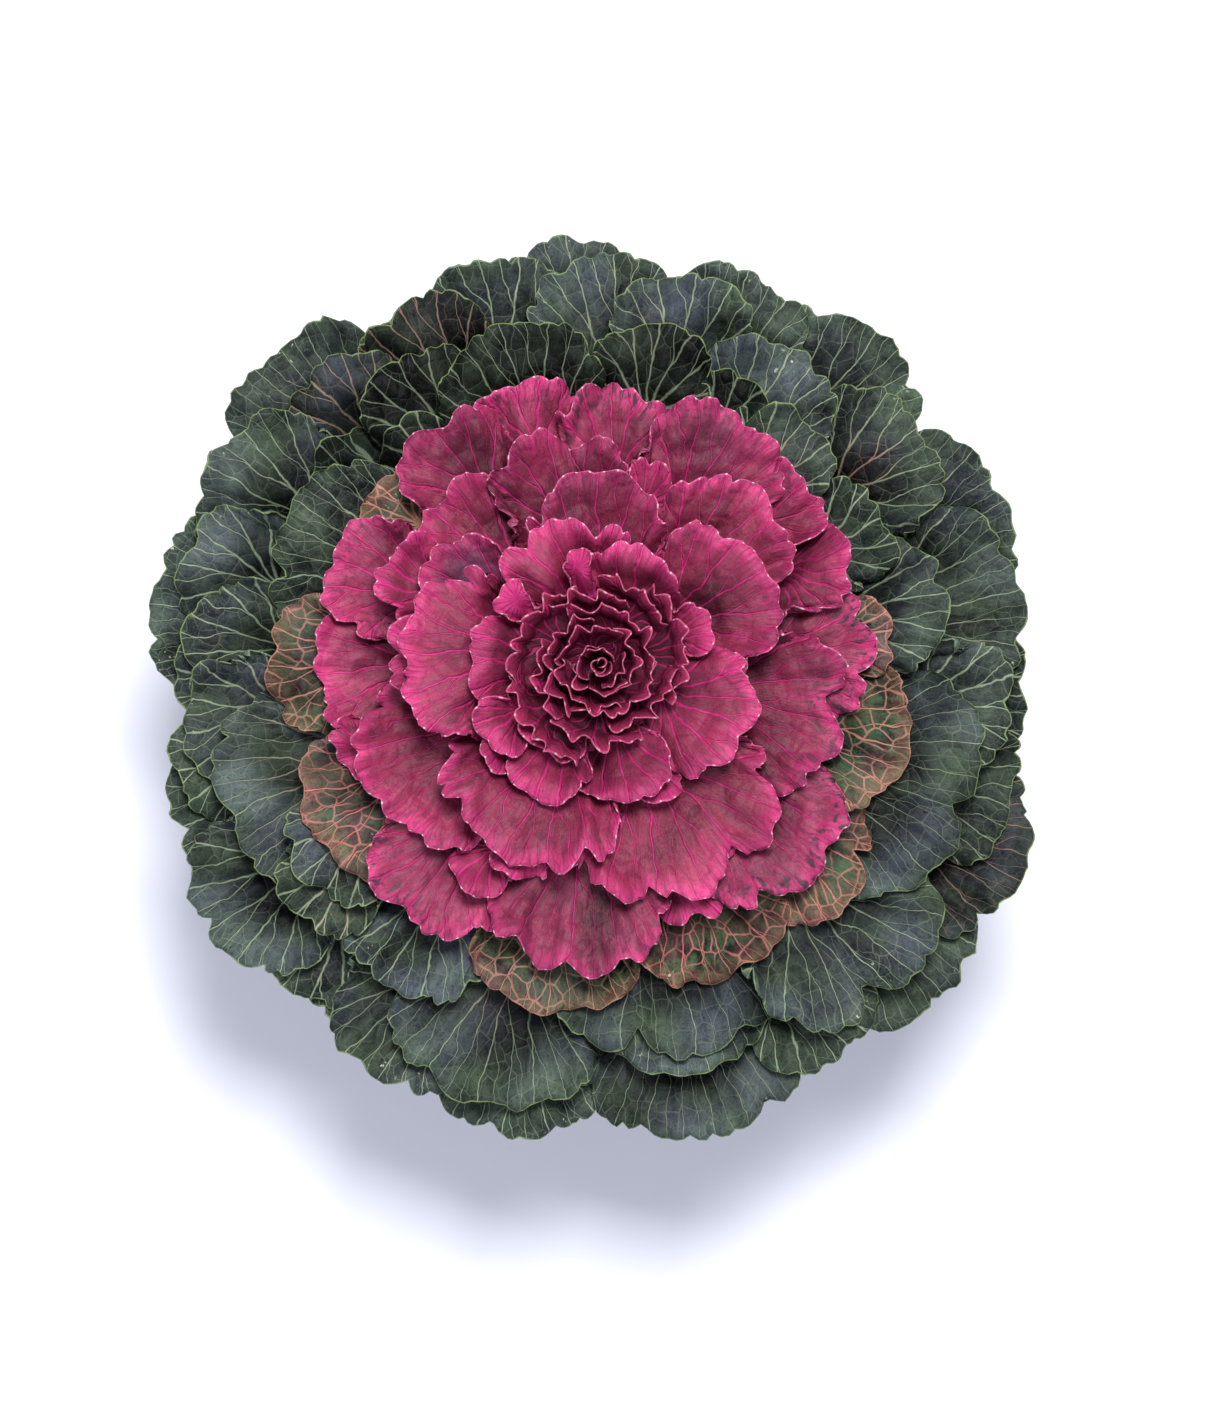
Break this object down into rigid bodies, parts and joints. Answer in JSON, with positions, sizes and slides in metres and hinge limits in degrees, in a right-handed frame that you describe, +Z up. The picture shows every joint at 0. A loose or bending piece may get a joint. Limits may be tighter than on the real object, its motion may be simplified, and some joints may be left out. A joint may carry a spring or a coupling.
{
  "type": "ornamental kale plant",
  "caption": "Ornamental kale in a plain round pot: a dense flat rosette of ruffled leaves, dark green outside and crimson-pink at the heart.",
  "frame": {"origin": "centre of the pot's flat underside, on the surface it stands on, on the axis of pot and rosette", "axes": "+Z up along the stem; +X to the right and +Y to the top of the picture, which looks straight down"},
  "size_m": [0.3297, 0.3359, 0.208],
  "materials": {
    "pot_clay": "matte unglazed terracotta",
    "potting_soil": "loose dark peat, stands in for damp potting mix",
    "stem_green": "pale green bark with leaf scars",
    "outer_green_leaf": "waxy dark green leaf with pale veins",
    "inner_green_leaf": "waxy dark green leaf with pale and pink veins",
    "variegated_leaf": "green leaf with orange-pink veins and margin",
    "outer_pink_leaf": "satin crimson-pink leaf with bright pink veins",
    "inner_pink_leaf": "satin magenta-pink leaf with bright pink veins",
    "heart_crimson": "satin dark crimson folded leaves"
  },
  "bodies": {
    "root": {"heart": "heart_crimson", "inner_green_leaf_01": "inner_green_leaf", "inner_green_leaf_02": "inner_green_leaf", "inner_green_leaf_03": "inner_green_leaf", "inner_green_leaf_04": "inner_green_leaf", "inner_green_leaf_05": "inner_green_leaf", "inner_green_leaf_06": "inner_green_leaf", "inner_green_leaf_07": "inner_green_leaf", "inner_green_leaf_08": "inner_green_leaf", "inner_green_leaf_09": "inner_green_leaf", "inner_green_leaf_10": "inner_green_leaf", "inner_green_leaf_11": "inner_green_leaf", "inner_green_leaf_12": "inner_green_leaf", "inner_pink_leaf_01": "inner_pink_leaf", "inner_pink_leaf_02": "inner_pink_leaf", "inner_pink_leaf_03": "inner_pink_leaf", "inner_pink_leaf_04": "inner_pink_leaf", "inner_pink_leaf_05": "inner_pink_leaf", "inner_pink_leaf_06": "inner_pink_leaf", "inner_pink_leaf_07": "inner_pink_leaf", "inner_pink_leaf_08": "inner_pink_leaf", "inner_pink_leaf_09": "inner_pink_leaf", "inner_pink_leaf_10": "inner_pink_leaf", "inner_pink_leaf_11": "inner_pink_leaf", "inner_pink_leaf_12": "inner_pink_leaf", "outer_green_leaf_01": "outer_green_leaf", "outer_green_leaf_02": "outer_green_leaf", "outer_green_leaf_03": "outer_green_leaf", "outer_green_leaf_04": "outer_green_leaf", "outer_green_leaf_05": "outer_green_leaf", "outer_green_leaf_06": "outer_green_leaf", "outer_green_leaf_07": "outer_green_leaf", "outer_green_leaf_08": "outer_green_leaf", "outer_green_leaf_09": "outer_green_leaf", "outer_green_leaf_10": "outer_green_leaf", "outer_green_leaf_11": "outer_green_leaf", "outer_green_leaf_12": "outer_green_leaf", "outer_green_leaf_13": "outer_green_leaf", "outer_green_leaf_14": "outer_green_leaf", "outer_green_leaf_15": "outer_green_leaf", "outer_pink_leaf_01": "outer_pink_leaf", "outer_pink_leaf_02": "outer_pink_leaf", "outer_pink_leaf_03": "outer_pink_leaf", "outer_pink_leaf_04": "outer_pink_leaf", "outer_pink_leaf_05": "outer_pink_leaf", "outer_pink_leaf_06": "outer_pink_leaf", "outer_pink_leaf_07": "outer_pink_leaf", "outer_pink_leaf_08": "outer_pink_leaf", "pot": "pot_clay", "soil": "potting_soil", "stem": "stem_green", "variegated_leaf_01": "variegated_leaf", "variegated_leaf_02": "variegated_leaf", "variegated_leaf_03": "variegated_leaf", "variegated_leaf_04": "variegated_leaf", "variegated_leaf_05": "variegated_leaf", "variegated_leaf_06": "variegated_leaf", "variegated_leaf_07": "variegated_leaf", "variegated_leaf_08": "variegated_leaf", "variegated_leaf_09": "variegated_leaf"}
  },
  "joints": []
}
